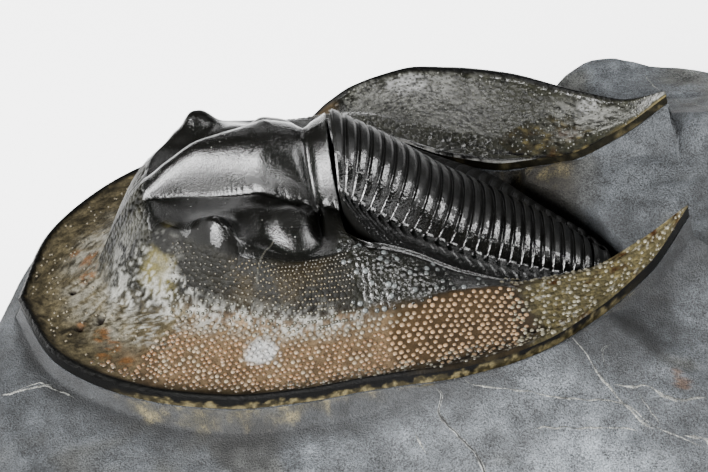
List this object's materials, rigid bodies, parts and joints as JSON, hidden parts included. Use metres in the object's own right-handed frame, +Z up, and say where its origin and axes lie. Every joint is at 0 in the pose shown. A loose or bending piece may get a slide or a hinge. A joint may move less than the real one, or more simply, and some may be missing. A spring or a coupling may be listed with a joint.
{
  "type": "trilobite fossil in rock matrix",
  "caption": "Fossil trilobite with a wide horseshoe head shield, long blade-like cheek tips and a ribbed thorax, standing free on a rough limestone block with a flat underside.",
  "frame": {"origin": "centre of the bounding box, on the flat underside of the block", "axes": "+Z up, +X from the front of the head towards the tail, +Y to the animal's right-hand side"},
  "size_m": [0.063, 0.049, 0.0274],
  "materials": {
    "limestone": "matt fractured grey limestone with pale calcite veins",
    "head_shell": "fossil shell, glossy black on the cheeks, tan and granulated on the brim",
    "body_shell": "glossy black fossil shell"
  },
  "bodies": {
    "root": {"matrix": "limestone", "cephalon": "head_shell", "thorax": "body_shell", "pygidium": "body_shell"}
  },
  "joints": []
}
